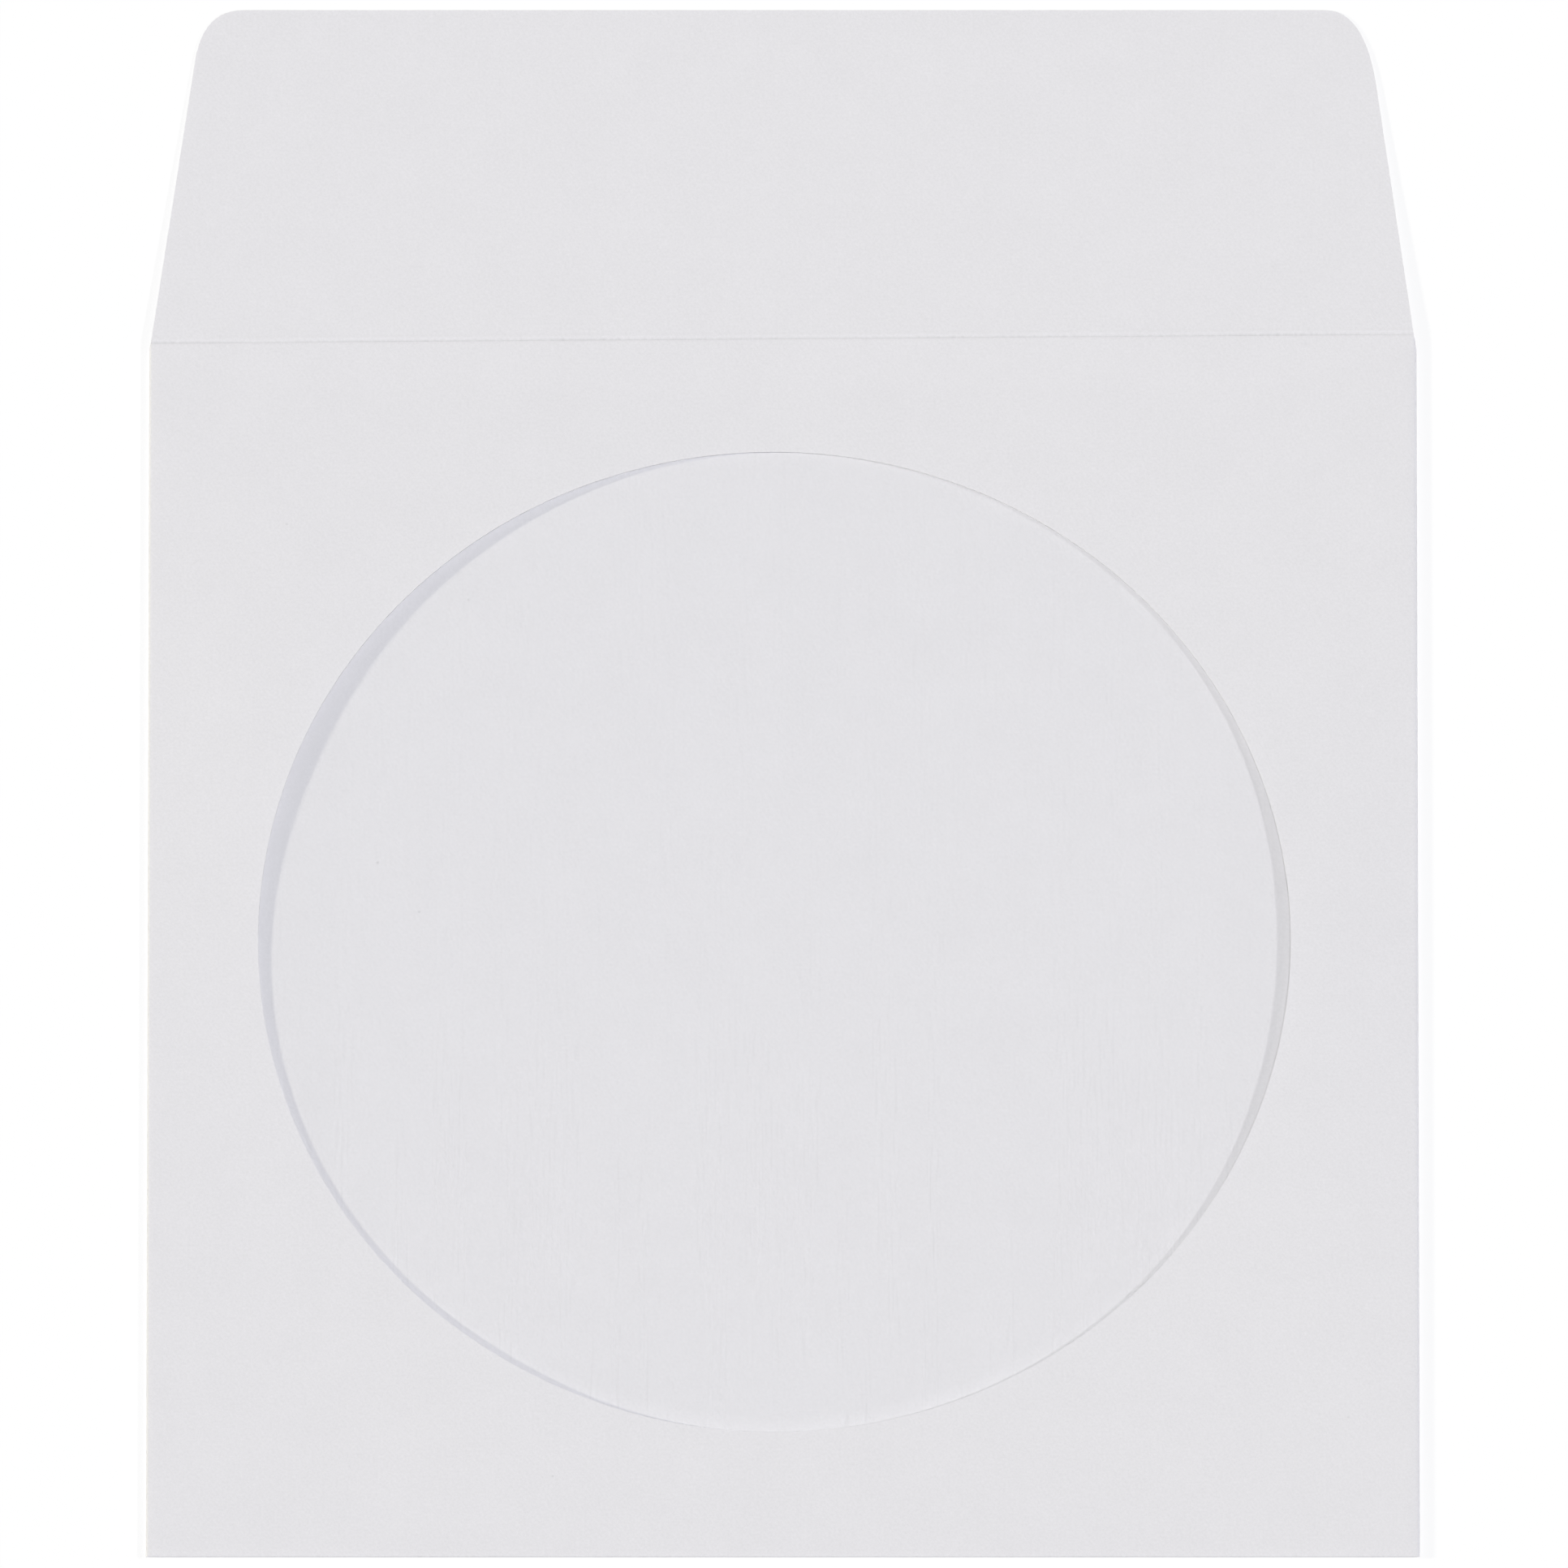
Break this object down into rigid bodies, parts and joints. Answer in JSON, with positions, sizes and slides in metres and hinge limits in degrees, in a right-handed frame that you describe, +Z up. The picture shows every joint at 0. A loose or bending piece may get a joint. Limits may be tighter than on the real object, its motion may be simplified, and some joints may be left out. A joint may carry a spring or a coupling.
{
  "type": "cd sleeve",
  "caption": "Folded paper envelope for one disc, with a round film window in its front panel and an open flap above its throat.",
  "frame": {"origin": "middle of the outline, on the surface that the sleeve lies on", "axes": "+Z up out of the window, +Y from the bottom fold towards the open flap, +X to the right"},
  "size_m": [0.125, 0.1607, 0.001],
  "materials": {
    "paper": "uncoated white paper, matte",
    "film": "clear gloss film"
  },
  "bodies": {
    "root": {"paper_envelope": "paper", "window_film": "film"}
  },
  "joints": []
}
